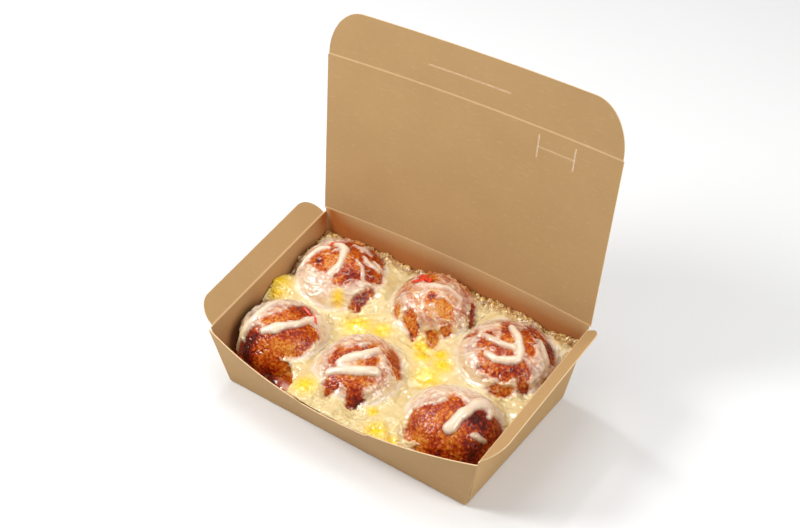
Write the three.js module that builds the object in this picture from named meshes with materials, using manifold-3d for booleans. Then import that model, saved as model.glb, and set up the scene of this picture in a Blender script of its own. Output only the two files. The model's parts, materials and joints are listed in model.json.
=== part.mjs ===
// Takoyaki in an open kraft paperboard takeaway box: a tray with leaning walls, a hinged lid with
// a tuck flap, two side flaps, and six balls set in melted cheese.
// Millimetres, +Z up, +X along the long front wall, +Y towards the lid.
// The origin is the middle of the underside of the tray.
import * as THREE from 'three';
import { mergeVertices } from 'three/addons/utils/BufferGeometryUtils.js';
import Module from 'manifold-3d';

const wasm = await Module();
wasm.setup();

// ---- driving dimensions ----
const PAPER = 0.5;                    // thickness of the board
const GAP = 0.3;                      // air kept between separate pieces
const LID_CREASE_LIFT = 0.3;          // the lid's crease line lies this far above the back rim ...
const FLAP_CREASE_LIFT = 0.3;         // ... and a side flap's above its end wall, so that it clears the rim
const BASE_LENGTH = 133;              // underside, along X
const BASE_WIDTH = 77.5;              // underside, along Y
const BASE_SKEW = 2;                  // hand-folded: the right-hand foot runs out of square
const RIM_LENGTH = 146.6;             // top opening, outside, along X
const RIM_WIDTH = 92.5;               // top opening, outside, along Y
const RIM_SHIFT = 3;                  // the opening sits this far behind the underside
const BACK_HEIGHT = 41.5;
const SIDE_BACK_HEIGHT = 39.8;        // side walls end a little below the lid's crease
const FRONT_HEIGHT = 38;
const CORNER_DROP = 2;                // the front left corner is lower ...
const CORNER_PULL = 2;                // ... and drawn in
const FRONT_BOW = 9.7;                // the front rim bulges out this much at mid length
const FRONT_DIP = 4.5;                // and sinks this much
const SIDE_BOW = 0.8;
const BACK_BOW = 3.2;                 // the back wall bulges outward, as the open lid pulls on it
const FOLD_RADIUS = 1.6;              // rounding of the four upright folds
const TONGUE = { centre: 3.5, length: 39, depth: 3.2, slant: 2.4, rise: 1.6 };  // in the front rim

const LID_LENGTH = 147.8;             // along the back crease
const LID_DEPTH = 85.5;               // back crease to tuck flap crease
const LID_LEAN = 10;                   // degrees behind upright, as it stands open
const TUCK_HEIGHT = 25.1;
const TUCK_SHORT = 1;                 // its crease is this much shorter than the lid's
const TUCK_ROUND = 17;                // how far in from its ends the rounded corners reach
const TUCK_SLIT = { centre: -2.5, length: 41, up: 11 };
const LOCK_CUT = { left: 33.8, right: 51.6, low: 71, high: 82.5, bar: 76.5 };  // H shape in the lid
const CUT_WIDTH = 0.5;
const CUTTER_REACH = 6;               // a cutter passes right through the board

const FLAP_WIDTH = 12;
const FLAP_LEAN = { left: 46, right: 46 };   // degrees outward from upright
const FLAP_ROUND = 9;
const FLAP_INSET = 2.6;               // the flap's ends stop short of the corners

const CHEESE_LEVEL = 24;              // height of the melted cheese between the balls
const CHEESE_EDGE = 5.5;              // it climbs this much higher where it meets the walls

// x, y: place; rx, ry, rz: half sizes; seed: its own unevenness
const BALLS = [
  { name: 'ball_back_left', x: -49, y: 26.5, rx: 24.5, ry: 23.5, rz: 19.6, seed: 1.3 },
  { name: 'ball_back_middle', x: 1.5, y: 34, rx: 21.5, ry: 21.2, rz: 20.1, seed: 2.9 },
  { name: 'ball_back_right', x: 47, y: 24, rx: 24.6, ry: 22.5, rz: 19.8, seed: 4.1 },
  { name: 'ball_front_left', x: -48.5, y: -18.5, rx: 22.4, ry: 21, rz: 19.1, seed: 5.7 },
  { name: 'ball_front_middle', x: -5.5, y: -19.5, rx: 21, ry: 21.3, rz: 19.3, seed: 7.2 },
  { name: 'ball_front_right', x: 46, y: -20, rx: 23, ry: 20.6, rz: 18.4, seed: 8.8 },
];
const BALL_SEGMENTS = { around: 21, up: 13 };
const BALL_UNEVEN = 0.025;            // share of the radius
const BALL_FLOOR = PAPER + GAP;
const BALL_SINK = 0.6;                // its own weight flattens the underside this much
const BALL_ROOM = GAP + 0.1;          // air between a ball and the cheese round it

const KRAFT = { color: '#be9a69', roughness: 0.85, metalness: 0 };
const CRUST = { color: '#b5602a', roughness: 0.4, metalness: 0 };
const CHEESE = { color: '#f3e0b0', roughness: 0.3, metalness: 0 };

const box = new THREE.Group();
box.name = 'takoyaki_box';

// ---- helpers ----
function addMesh(parent, name, geometry, look) {
  const mesh = new THREE.Mesh(geometry, new THREE.MeshStandardMaterial(look));
  mesh.name = name;
  parent.add(mesh);
  return mesh;
}

function weld(geometry) {
  const bare = geometry.clone();
  bare.deleteAttribute('normal');
  bare.deleteAttribute('uv');
  return mergeVertices(bare, 1e-4);
}

function toSolid(geometry) {
  const welded = weld(geometry);
  return new wasm.Manifold(new wasm.Mesh({
    numProp: 3,
    vertProperties: new Float32Array(welded.attributes.position.array),
    triVerts: new Uint32Array(welded.index.array),
  }));
}

function toGeometry(solid) {
  const mesh = solid.getMesh();
  const geometry = new THREE.BufferGeometry();
  geometry.setAttribute('position', new THREE.BufferAttribute(mesh.vertProperties, 3));
  geometry.setIndex(new THREE.BufferAttribute(mesh.triVerts, 1));
  geometry.computeVertexNormals();
  return geometry;
}

function cutAway(geometry, cutters) {
  return toGeometry(cutters.reduce((solid, cutter) => solid.subtract(toSolid(cutter)), toSolid(geometry)));
}

// A closed solid through rings of points, each ring counter-clockwise seen from above.
function solidFromRings(rings) {
  const count = rings[0].length;
  const middle = (ring) => ring.reduce((sum, p) => sum.add(p), new THREE.Vector3()).divideScalar(count);
  const points = [middle(rings[0]), ...rings.flat(), middle(rings.at(-1))];
  const index = [];
  for (let i = 0; i < count; i++) {
    const next = (i + 1) % count;
    index.push(0, 1 + next, 1 + i);
    for (let r = 0; r + 1 < rings.length; r++) {
      const low = 1 + r * count;
      const high = low + count;
      index.push(low + i, low + next, high + next, low + i, high + next, high + i);
    }
    const last = 1 + (rings.length - 1) * count;
    index.push(last + i, last + next, points.length - 1);
  }
  const geometry = new THREE.BufferGeometry().setFromPoints(points);
  geometry.setIndex(index);
  geometry.computeVertexNormals();
  return geometry;
}

const bump = (t) => 4 * t * (1 - t);

// ---- outline of the tray at any height ----
// The four sides run counter-clockwise: front, right, back, left.
const halfBase = { x: BASE_LENGTH / 2, y: BASE_WIDTH / 2 };
const halfRim = { x: RIM_LENGTH / 2, y: RIM_WIDTH / 2 };
const footCorners = [
  new THREE.Vector2(-halfBase.x, -halfBase.y),
  new THREE.Vector2(halfBase.x - BASE_SKEW, -halfBase.y),
  new THREE.Vector2(halfBase.x + BASE_SKEW, halfBase.y),
  new THREE.Vector2(-halfBase.x, halfBase.y),
];
const rimCorners = [
  new THREE.Vector2(-halfRim.x + CORNER_PULL, -halfRim.y + RIM_SHIFT),
  new THREE.Vector2(halfRim.x, -halfRim.y + RIM_SHIFT),
  new THREE.Vector2(halfRim.x, halfRim.y + RIM_SHIFT),
  new THREE.Vector2(-halfRim.x, halfRim.y + RIM_SHIFT),
];
const rimBow = [FRONT_BOW, SIDE_BOW, BACK_BOW, SIDE_BOW];
const frontLeftHeight = FRONT_HEIGHT - CORNER_DROP;
const rimHeight = [
  (t) => THREE.MathUtils.lerp(frontLeftHeight, FRONT_HEIGHT, t) - FRONT_DIP * bump(t),
  (t) => THREE.MathUtils.lerp(FRONT_HEIGHT, SIDE_BACK_HEIGHT, t),
  () => BACK_HEIGHT,
  (t) => THREE.MathUtils.lerp(SIDE_BACK_HEIGHT, frontLeftHeight, t),
];
const LONG_STEPS = 22;
const SHORT_STEPS = 8;

// Points of the wall's outside at the share `up` of its height, moved inward by `inset`.
function wallRing(up, inset, lift = 0) {
  const ring = [];
  for (let side = 0; side < 4; side++) {
    const from = footCorners[side].clone().lerp(rimCorners[side], up);
    const to = footCorners[(side + 1) % 4].clone().lerp(rimCorners[(side + 1) % 4], up);
    const along = to.clone().sub(from).normalize();
    const inward = new THREE.Vector2(-along.y, along.x);
    const ease = FOLD_RADIUS + inset;
    from.addScaledVector(along, ease);
    to.addScaledVector(along, -ease);
    const steps = side % 2 === 0 ? LONG_STEPS : SHORT_STEPS;
    for (let i = 0; i <= steps; i++) {
      const t = i / steps;
      const bow = rimBow[side] * bump(t) * up ** 1.3;
      const p = from.clone().lerp(to, t).addScaledVector(inward, inset - bow);
      ring.push(new THREE.Vector3(p.x, p.y, up * rimHeight[side](t) + lift * (1 - up)));
    }
  }
  return ring;
}

// ---- tray ----
function trayShell() {
  const shares = [0, 0.2, 0.45, 0.7, 0.88, 1];
  const outer = shares.map((up) => wallRing(up, 0));
  const inner = shares.toReversed().map((up) => wallRing(up, PAPER, PAPER));
  return solidFromRings([...outer, ...inner]);
}

// The rim is cut down between two slanting cuts, which leaves the lock tongue.
function tongueCutter() {
  const half = TONGUE.length / 2;
  const rim = frontLeftHeight / 2 + FRONT_HEIGHT / 2 - FRONT_DIP;
  const low = rim - TONGUE.depth;
  const high = rim + CUTTER_REACH;
  const reach = 2 * FRONT_BOW + CUTTER_REACH;
  const shape = new THREE.Shape();
  shape.moveTo(-half, high);
  shape.lineTo(-half, rim);
  shape.lineTo(-half + TONGUE.slant, low);
  shape.quadraticCurveTo(0, low + TONGUE.rise, half - TONGUE.slant, low);
  shape.lineTo(half, rim);
  shape.lineTo(half, high);
  shape.closePath();
  const cutter = new THREE.ExtrudeGeometry(shape, { depth: reach, bevelEnabled: false, curveSegments: 6 });
  cutter.rotateX(Math.PI / 2);
  cutter.translate(TONGUE.centre, -halfRim.y + RIM_SHIFT + CUTTER_REACH, 0);
  return cutter;
}

addMesh(box, 'tray', cutAway(trayShell(), [tongueCutter()]), KRAFT);

// ---- lid and flaps: thin panels that stand on their crease ----
// The panel's crease lies along X through the group's origin, and the panel rises along Z.
// Its two free corners are quarter ellipses that reach `roundAlong` in from the ends.
function panel(length, height, roundAlong, steps) {
  const geometry = new THREE.BoxGeometry(length, PAPER, 1, steps.along, 1, steps.up);
  const position = geometry.attributes.position;
  for (let i = 0; i < position.count; i++) {
    const angle = (position.getZ(i) + 0.5) * Math.PI / 2;
    const narrow = roundAlong * (1 - Math.cos(angle));
    position.setX(i, position.getX(i) * (1 - 2 * narrow / length));
    position.setZ(i, GAP + height * Math.sin(angle));
  }
  geometry.computeVertexNormals();
  return geometry;
}

function slit(x, z, length, width) {
  const cutter = new THREE.BoxGeometry(length, CUTTER_REACH, width);
  cutter.translate(x, 0, z);
  return cutter;
}

function lidPanel() {
  const { left, right, low, high, bar } = LOCK_CUT;
  const flat = panel(LID_LENGTH, LID_DEPTH - 2 * GAP, 0, { along: 1, up: 2 });
  const uprights = [left, right].map((x) => slit(x, (low + high) / 2, CUT_WIDTH, high - low));
  const crossbar = slit((left + right) / 2, bar, right - left, CUT_WIDTH);
  return cutAway(flat, [...uprights, crossbar]);
}

function tuckPanel() {
  const flat = panel(LID_LENGTH - TUCK_SHORT, TUCK_HEIGHT, TUCK_ROUND, { along: 1, up: 12 });
  return cutAway(flat, [slit(TUCK_SLIT.centre, TUCK_SLIT.up, TUCK_SLIT.length, CUT_WIDTH)]);
}

const lidHinge = new THREE.Group();
lidHinge.position.set(0, halfRim.y + RIM_SHIFT - PAPER / 2, BACK_HEIGHT + LID_CREASE_LIFT);
lidHinge.rotation.x = -THREE.MathUtils.degToRad(LID_LEAN);
box.add(lidHinge);
addMesh(lidHinge, 'lid', lidPanel(), KRAFT);

const tuckHinge = new THREE.Group();
tuckHinge.position.set(0, 0, LID_DEPTH - GAP / 2);
lidHinge.add(tuckHinge);
addMesh(tuckHinge, 'tuck_flap', tuckPanel(), KRAFT);

// A side flap stands on the rim of an end wall, from the front corner to the back one.
function addSideFlap(name, front, back, lean, turn) {
  const length = front.distanceTo(back) - 2 * FLAP_INSET;
  const holder = new THREE.Group();
  holder.position.copy(front).lerp(back, 0.5);
  const along = back.clone().sub(front).normalize();
  const level = new THREE.Vector3(0, 0, 1);
  const outward = new THREE.Vector3().crossVectors(along, level).normalize();
  const upright = new THREE.Vector3().crossVectors(outward, along);
  holder.quaternion.setFromRotationMatrix(new THREE.Matrix4().makeBasis(along, outward.negate(), upright));
  box.add(holder);
  const leaning = new THREE.Group();
  leaning.rotation.x = turn * THREE.MathUtils.degToRad(lean);
  holder.add(leaning);
  addMesh(leaning, name, panel(length, FLAP_WIDTH, FLAP_ROUND, { along: 1, up: 8 }), KRAFT);
}

// A crease's end, above the middle of the board's thickness at a corner of the rim.
function creaseEnd(corner, height) {
  const inward = -Math.sign(corner.x) * PAPER / 2;
  return new THREE.Vector3(corner.x + inward, corner.y, height + FLAP_CREASE_LIFT);
}

const leftFront = creaseEnd(rimCorners[0], frontLeftHeight);
const leftBack = creaseEnd(rimCorners[3], SIDE_BACK_HEIGHT);
const rightFront = creaseEnd(rimCorners[1], FRONT_HEIGHT);
const rightBack = creaseEnd(rimCorners[2], SIDE_BACK_HEIGHT);
addSideFlap('left_flap', leftFront, leftBack, FLAP_LEAN.left, -1);
addSideFlap('right_flap', rightFront, rightBack, FLAP_LEAN.right, 1);

// ---- takoyaki balls ----
// Flat faces that a ball keeps to: the floor, the walls and the middle of the gap to each neighbour.
function wallPlanes() {
  const sides = [
    { foot: footCorners[0], rim: rimCorners[0], out: new THREE.Vector2(0, -1), height: FRONT_HEIGHT },
    { foot: footCorners[1], rim: rimCorners[1], out: new THREE.Vector2(1, 0), height: FRONT_HEIGHT },
    { foot: footCorners[2], rim: rimCorners[2], out: new THREE.Vector2(0, 1), height: BACK_HEIGHT },
    { foot: footCorners[3], rim: rimCorners[0], out: new THREE.Vector2(-1, 0), height: frontLeftHeight },
  ];
  return sides.map(({ foot, rim, out, height }) => {
    const lean = rim.clone().sub(foot).dot(out) / height;
    const normal = new THREE.Vector3(out.x, out.y, -lean).normalize();
    const point = new THREE.Vector3(foot.x, foot.y, 0).addScaledVector(normal, -(PAPER + 2 * GAP));
    return { point, normal };
  });
}

function ballPlanes(ball) {
  const planes = wallPlanes();
  planes.push({ point: new THREE.Vector3(0, 0, BALL_FLOOR), normal: new THREE.Vector3(0, 0, -1) });
  for (const other of BALLS.filter((candidate) => candidate !== ball)) {
    const apart = new THREE.Vector3(other.x - ball.x, other.y - ball.y, 0);
    const distance = apart.length();
    const normal = apart.clone().normalize();
    const reach = (b) => Math.hypot(b.rx * normal.x, b.ry * normal.y);
    const share = reach(ball) / (reach(ball) + reach(other));
    const point = new THREE.Vector3(ball.x, ball.y, 0).addScaledVector(normal, distance * share - GAP / 2);
    planes.push({ point, normal });
  }
  return planes;
}

function unevenness(direction, seed) {
  const { x, y, z } = direction;
  const broad = Math.sin(2.1 * x + seed) + Math.sin(2.7 * y + 1.7 * seed) + Math.sin(2.4 * z + 2.3 * seed);
  const fine = Math.sin(5.3 * x + 3 * y + seed) + Math.sin(4.9 * y - 3.7 * z + 2 * seed);
  return BALL_UNEVEN * (broad / 2 + fine / 3);
}

function ballGeometry(ball, swell = 0) {
  const geometry = weld(new THREE.SphereGeometry(1, BALL_SEGMENTS.around, BALL_SEGMENTS.up));
  const position = geometry.attributes.position;
  const planes = ballPlanes(ball);
  const p = new THREE.Vector3();
  for (let i = 0; i < position.count; i++) {
    p.fromBufferAttribute(position, i);
    const size = 1 + unevenness(p, ball.seed);
    const normal = new THREE.Vector3(p.x / ball.rx, p.z / ball.ry, p.y / ball.rz).normalize();
    p.set(p.x * ball.rx * size, -p.z * ball.ry * size, p.y * ball.rz * size);
    normal.set(normal.x, -normal.y, normal.z);
    p.add(new THREE.Vector3(ball.x, ball.y, BALL_FLOOR + ball.rz - BALL_SINK));
    for (const plane of planes) {
      const beyond = p.clone().sub(plane.point).dot(plane.normal);
      if (beyond > 0) p.addScaledVector(plane.normal, -beyond);
    }
    p.addScaledVector(normal, swell);
    position.setXYZ(i, p.x, p.y, p.z);
  }
  geometry.computeVertexNormals();
  return geometry;
}

for (const ball of BALLS) addMesh(box, ball.name, ballGeometry(ball), CRUST);

// ---- melted cheese ----
// It fills the tray up to an uneven level that climbs at the walls, and leaves room for each ball.
function cheeseTop(x, y, closeness) {
  const waves = 1.2 * Math.sin(x / 13 + 1) * Math.cos(y / 11) + 0.8 * Math.sin(x / 7 - y / 9);
  return CHEESE_LEVEL + waves + CHEESE_EDGE * closeness ** 3;
}

function cheesePool() {
  const inset = PAPER + 2 * GAP;
  const rings = [0, 0.2, 0.45].map((up) => wallRing(up, inset, BALL_FLOOR));
  const edge = wallRing(0.7, inset, BALL_FLOOR);
  const centre = new THREE.Vector3(0, RIM_SHIFT / 2, 0);
  for (const share of [1, 0.92, 0.78, 0.56, 0.28]) {
    rings.push(edge.map((p) => {
      const x = THREE.MathUtils.lerp(centre.x, p.x, share);
      const y = THREE.MathUtils.lerp(centre.y, p.y, share);
      return new THREE.Vector3(x, y, cheeseTop(x, y, share));
    }));
  }
  return solidFromRings(rings);
}

const roomForBalls = BALLS.map((ball) => ballGeometry(ball, BALL_ROOM));
addMesh(box, 'melted_cheese', cutAway(cheesePool(), roomForBalls), CHEESE);

export default box;
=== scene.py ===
# %% [markdown]
# # Takoyaki with melted cheese, in an open kraft takeaway box
#
# Takoyaki are round dumplings of batter, fried in a hot iron mould until the crust is brown and
# shiny. Here six of them sit in two rows in a box folded from one sheet of brown board, and a
# blanket of melted cheese has run over and between them.
# The measured model already says where every wall, flap and ball is. This lesson only adds what
# the eye wants: the fold lines and cut edges of the board, the grainy crust, and the soft cheese.

import json
import math

import bmesh
import bpy
import numpy as np
from mathutils import Matrix, Vector, noise
from mathutils.bvhtree import BVHTree


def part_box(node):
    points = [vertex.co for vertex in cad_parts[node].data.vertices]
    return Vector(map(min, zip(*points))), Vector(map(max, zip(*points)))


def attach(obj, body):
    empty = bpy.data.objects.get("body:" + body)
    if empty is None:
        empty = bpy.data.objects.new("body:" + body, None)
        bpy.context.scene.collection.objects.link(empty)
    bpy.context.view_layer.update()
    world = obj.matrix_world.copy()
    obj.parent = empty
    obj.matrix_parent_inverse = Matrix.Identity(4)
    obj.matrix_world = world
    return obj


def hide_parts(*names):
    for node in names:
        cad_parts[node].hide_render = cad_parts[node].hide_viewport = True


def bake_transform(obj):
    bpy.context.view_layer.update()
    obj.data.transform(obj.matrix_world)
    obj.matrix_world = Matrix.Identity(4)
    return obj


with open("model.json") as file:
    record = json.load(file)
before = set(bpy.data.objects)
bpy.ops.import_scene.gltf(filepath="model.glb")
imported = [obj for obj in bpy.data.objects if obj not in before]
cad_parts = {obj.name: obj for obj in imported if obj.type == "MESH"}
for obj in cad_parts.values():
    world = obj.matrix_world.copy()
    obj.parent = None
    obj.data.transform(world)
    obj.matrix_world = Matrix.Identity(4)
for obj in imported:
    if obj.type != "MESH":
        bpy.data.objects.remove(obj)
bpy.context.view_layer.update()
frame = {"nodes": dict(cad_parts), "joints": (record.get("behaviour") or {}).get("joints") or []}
nodes = frame["nodes"]
joints = {joint["name"]: joint for joint in frame["joints"]}
MM = 0.001
NOISE_SEED = 7           # vector noise starts from the clock unless it is given a seed
noise.seed_set(NOISE_SEED)
print("nodes:", sorted(nodes))
print("joints:", sorted(joints))

# %% [markdown]
# ## Small helpers
#
# Colours are easiest to choose as the hex codes that a paint chart gives, but shaders want linear
# light, so one function turns the one into the other. A material is a tree of small nodes, and a
# second function adds one node: its settings first, then a value or a wire for each socket.

# %% Helpers for colours, shader nodes and objects
def linear(code):
    parts = [int(code[i:i + 2], 16) / 255 for i in (1, 3, 5)]
    return tuple(c / 12.92 if c <= 0.04045 else ((c + 0.055) / 1.055) ** 2.4 for c in parts) + (1.0,)


COLOURS = {"data_type": "RGBA"}          # a Mix node mixes colours
SUM = {"operation": "MULTIPLY_ADD"}      # a Math node gives a * b + c


def add(tree, kind, sockets=None, stops=None, **settings):
    """Adds one shader node. sockets holds a value or another node's output for each input."""
    made = tree.nodes.new("ShaderNode" + kind)
    for name, value in settings.items():
        setattr(made, name, value)
    for key, value in (sockets or {}).items():
        if isinstance(value, bpy.types.NodeSocket):
            tree.links.new(value, made.inputs[key])
        else:
            made.inputs[key].default_value = value
    for place, code in stops or []:
        element = made.color_ramp.elements.new(place)
        element.color = linear(code)
    if stops:
        made.color_ramp.elements.remove(made.color_ramp.elements[0])
        made.color_ramp.elements.remove(made.color_ramp.elements[-1])
    return made


def new_material(name):
    """An empty material, its node tree, and the place on the piece as a socket."""
    material = bpy.data.materials.new(name)
    material.use_nodes = True
    tree = material.node_tree
    tree.nodes.clear()
    return material, tree, add(tree, "TexCoord").outputs["Object"]


def new_piece(name, bm, materials):
    """Turns a bmesh into an object at the origin, with its materials."""
    mesh = bpy.data.meshes.new(name)
    bm.to_mesh(mesh)
    bm.free()
    piece = bpy.data.objects.new(name, mesh)
    bpy.context.scene.collection.objects.link(piece)
    for material in materials:
        mesh.materials.append(material)
    return piece


def apply_modifiers(piece):
    graph = bpy.context.evaluated_depsgraph_get()
    mesh = bpy.data.meshes.new_from_object(piece.evaluated_get(graph))
    piece.modifiers.clear()
    piece.data = mesh
    return piece


def shade(piece, sharp_degrees):
    piece.data.shade_smooth()
    piece.data.set_sharp_from_angle(angle=math.radians(sharp_degrees))
    return piece


def set_attribute(mesh, name, values):
    """Stores one number for each vertex, which a material can read."""
    mesh.attributes.new(name, "FLOAT", "POINT").data.foreach_set(
        "value", np.asarray(values, np.float32))


def vertex_rows(mesh, name):
    """The "co" or "normal" of every vertex, as rows of three numbers."""
    values = np.empty(len(mesh.vertices) * 3, np.float32)
    mesh.vertices.foreach_get(name, values)
    return values.reshape(-1, 3).astype(float)


print("helpers ready")

# %% [markdown]
# ## Kraft board
#
# Kraft board is unbleached wood pulp, pressed and left without any coating. Up close it is matte,
# with a faint cloudiness a few centimetres wide, and short fibres lighter and darker than the
# rest. Along a fold and beside a cut the board is painted paler: partly fibres cracked at the fold
# and bruised beside the cut, partly a painted highlight. A cut edge shows the loose pulp, which is
# paler still. So there are three materials from one recipe.

# %% Kraft board materials
def kraft(name, light, dark, fleck, roughness):
    material, tree, place = new_material(name)
    # Clouds 30 mm wide, pulp 3 mm wide, and fibres about 0.5 mm thick and 3 mm long.
    clouds = add(tree, "TexNoise", {"Vector": place, "Scale": 33, "Detail": 3})
    pulp = add(tree, "TexNoise", {"Vector": place, "Scale": 330, "Detail": 5, "Roughness": 0.7})
    along = add(tree, "Mapping", {"Vector": place, "Scale": (300, 2000, 1400)})
    fibres = add(tree, "TexNoise", {"Vector": along.outputs[0], "Scale": 1, "Detail": 2})
    base = add(tree, "Mix", {0: clouds.outputs[0], 6: linear(light), 7: linear(dark)}, **COLOURS)
    spread = add(tree, "MapRange", {0: pulp.outputs[0], 1: 0.35, 2: 0.75, 3: 0.0, 4: 0.3})
    mottled = add(tree, "Mix", {0: spread.outputs[0], 6: base.outputs[2], 7: linear(dark)}, **COLOURS)
    thread = add(tree, "MapRange", {0: fibres.outputs[0], 1: 0.6, 2: 0.72, 3: 0.0, 4: 0.35})
    flecked = add(tree, "Mix", {0: thread.outputs[0], 6: mottled.outputs[2], 7: linear(fleck)},
                  **COLOURS)
    # Painted shade darkens the inner walls just above the food, partly as grease, and darkens the
    # back-left corner, where shade gathers; the tray's mesh says how much.
    soaked = add(tree, "Attribute", attribute_name="soaked")
    stain = add(tree, "Mix", {0: soaked.outputs["Fac"], 6: (1, 1, 1, 1), 7: linear("#dc9a60")},
                **COLOURS)
    stained = add(tree, "Mix", {0: 1.0, 6: flecked.outputs[2], 7: stain.outputs[2]}, **COLOURS,
                  blend_type="MULTIPLY")
    relief = add(tree, "Bump", {"Height": pulp.outputs[0], "Strength": 0.25, "Distance": 0.1 * MM})
    skin = add(tree, "BsdfPrincipled", {
        "Base Color": stained.outputs[2], "Roughness": roughness, "Specular IOR Level": 0.25,
        "Normal": relief.outputs[0]})
    add(tree, "OutputMaterial", {"Surface": skin.outputs[0]})
    return material


# Uncoated brown board: matte and a little cloudy.
kraft_board = kraft("kraft_board", "#ba9768", "#ac895c", "#c6a67c", 0.8)
# Board along a fold and beside a cut: the same pulp, paler, partly for cracked fibres and partly as a
# painted highlight.
creased_board = kraft("creased_board", "#d4b286", "#c6a274", "#e2c8a0", 0.85)
# The cut edge of the sheet, where the pulp shows.
cut_board = kraft("cut_board", "#e2c79d", "#d3b287", "#efdcbc", 0.9)
board_materials = [kraft_board, creased_board, cut_board]
CREASED = 1
print("board materials:", [m.name for m in board_materials])

# %% [markdown]
# ## A sheet of board
#
# Every panel starts as a flat grid. The grid's columns and rows needn't be evenly spaced: a
# station is put wherever the panel has a corner, a notch or the side of a slit. Faces that lie in
# a slit are deleted, each vertex is moved to its place on the folded box, and a Solidify modifier
# then gives the sheet its half millimetre. Its rim takes the cut-edge material by itself.

# %% Tools for sheets
BOARD = 0.5            # thickness, mm
SLIT = 0.35            # width of a die cut, mm
BRUISED = 0.25         # how far beside a cut the board is painted paler, as bruised fibres and a painted highlight, mm
FOLD_LINE = 0.9        # how wide the paler band is at a fold, as cracked fibres and a painted highlight, mm


def arch(t):
    """0 at both ends, 1 in the middle."""
    return 4 * t * (1 - t)


def stations(low, high, count, extra=()):
    """Even steps from low to high, with extra ones where a cut needs them."""
    near = (high - low) / count / 3
    even = [low + (high - low) * i / count for i in range(count + 1)]
    kept = [s for s in even if all(abs(s - e) > near for e in extra) or s in (low, high)]
    return sorted(kept + list(extra))


def inside(point, box, margin=0.0):
    x0, x1, y0, y1 = box
    return x0 - margin < point.x < x1 + margin and y0 - margin < point.y < y1 + margin


def sheet(bm, columns, rows, place, holes=(), folded=0.0):
    """Adds a grid with a vertex at each column and row, cuts the holes, and puts it in place."""
    wide, tall = len(columns) - 1, len(rows) - 1
    made = bmesh.ops.create_grid(bm, x_segments=wide, y_segments=tall, size=0.5)["verts"]
    for v in made:
        v.co = Vector((columns[round((v.co.x + 0.5) * wide)], rows[round((v.co.y + 0.5) * tall)], 0))
    faces = {f for v in made for f in v.link_faces}
    cut = []
    for face in faces:
        middle = face.calc_center_median()
        if any(inside(middle, box) for box in holes):
            cut.append(face)
        # Faces along the fold and beside a cut take the paler board: cracked fibres and a painted
        # highlight.
        elif middle.y < folded or any(inside(middle, box, BRUISED) for box in holes):
            face.material_index = CREASED
    bmesh.ops.delete(bm, geom=cut, context="FACES")
    for v in made:
        if v.is_valid:
            v.co = place(v.co.x, v.co.y) * MM


def board_piece(name, bm):
    bmesh.ops.remove_doubles(bm, verts=bm.verts, dist=0.01 * MM)
    bmesh.ops.recalc_face_normals(bm, faces=bm.faces)
    piece = new_piece(name, bm, board_materials)
    shell = piece.modifiers.new("thickness", "SOLIDIFY")
    shell.thickness = BOARD * MM
    shell.offset = 0.0
    shell.use_even_offset = True
    shell.material_offset_rim = 2
    apply_modifiers(piece)
    shade(piece, 40)
    print(name, len(piece.data.polygons), "faces")
    return piece


# %% [markdown]
# ## The tray
#
# The tray is the bottom of the sheet with its four walls folded up. The walls lean outward, the
# food pushes the front one into a belly, and its rim has a lock tongue: a stretch cut lower
# between two slanting cuts. Each wall is a sheet of its own that is rounded into the bottom and
# welded to it there, but the walls stay apart at the upright corners, where the real ones are
# only tucked behind each other. That leaves the thin dark lines that make a folded box look
# folded.

# %% Outline of the tray
FOOT = [Vector((-66.5, -38.75)), Vector((64.5, -38.75)), Vector((68.5, 38.75)), Vector((-66.5, 38.75))]
RIM = [Vector((-71.3, -43.25)), Vector((72.2, -43.25)), Vector((73.3, 49.25)), Vector((-73.3, 49.25))]
FRONT, RIGHT, BACK, LEFT = range(4)
BELLY = [9.6, 0.8, 3.2, 0.8]       # how far each wall bulges at mid length
FRONT_SAG = 4.5                    # the front rim sinks this much at mid length
TONGUE = {"left": -16.0, "right": 23.0, "depth": 3.2, "slant": 2.4, "rise": 0.8}
TUCKED = {"front": 1.4, "back": 0.45}     # the end walls stop this far behind the other two
TOE = 1.2                          # radius of the folds round the bottom
GROUND = BOARD / 2 + 0.07          # height of the bottom sheet's middle

lid_fold = Vector(joints["lid_crease"]["pos_m"]) / MM
TOP = [lambda t: 36.0 + 2.0 * t - FRONT_SAG * arch(t), lambda t: 38.3 + 1.8 * t,
       lambda t: lid_fold.z, lambda t: 40.1 - 3.8 * t]


def left_by_tongue(t):
    """The share of the front wall's height that the tongue's cut leaves at t."""
    x = RIM[0].x + (RIM[1].x - RIM[0].x) * t
    into = min(x - TONGUE["left"], TONGUE["right"] - x)
    cut = min(max(into / TONGUE["slant"], 0.0), 1.0)
    middle = (x - TONGUE["left"]) / (TONGUE["right"] - TONGUE["left"])
    drop = TONGUE["depth"] * cut - TONGUE["rise"] * arch(middle) * (cut == 1.0)
    return 1 - drop / TOP[FRONT](t)


def wall_point(side, t, up, inset=BOARD / 2):
    """A point of a wall, in mm: t runs along it, up is the share of its height."""
    if side == FRONT:
        up = up * left_by_tongue(t)
    low, high = (side, (side + 1) % 4)
    a, b = FOOT[low].lerp(RIM[low], up), FOOT[high].lerp(RIM[high], up)
    along = (b - a).normalized()
    inward = Vector((-along.y, along.x))
    if side in (RIGHT, LEFT):
        ends = (TUCKED["front"], TUCKED["back"])
        ends = ends if side == RIGHT else ends[::-1]
        a, b = a + along * ends[0], b - along * ends[1]
    swell = up ** 1.3 if side in (FRONT, BACK) else math.sin(math.pi * up)
    p = a.lerp(b, t) + inward * (inset - BELLY[side] * arch(t) * swell)
    return Vector((p.x, p.y, GROUND + up * (TOP[side](t) - GROUND)))


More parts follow.
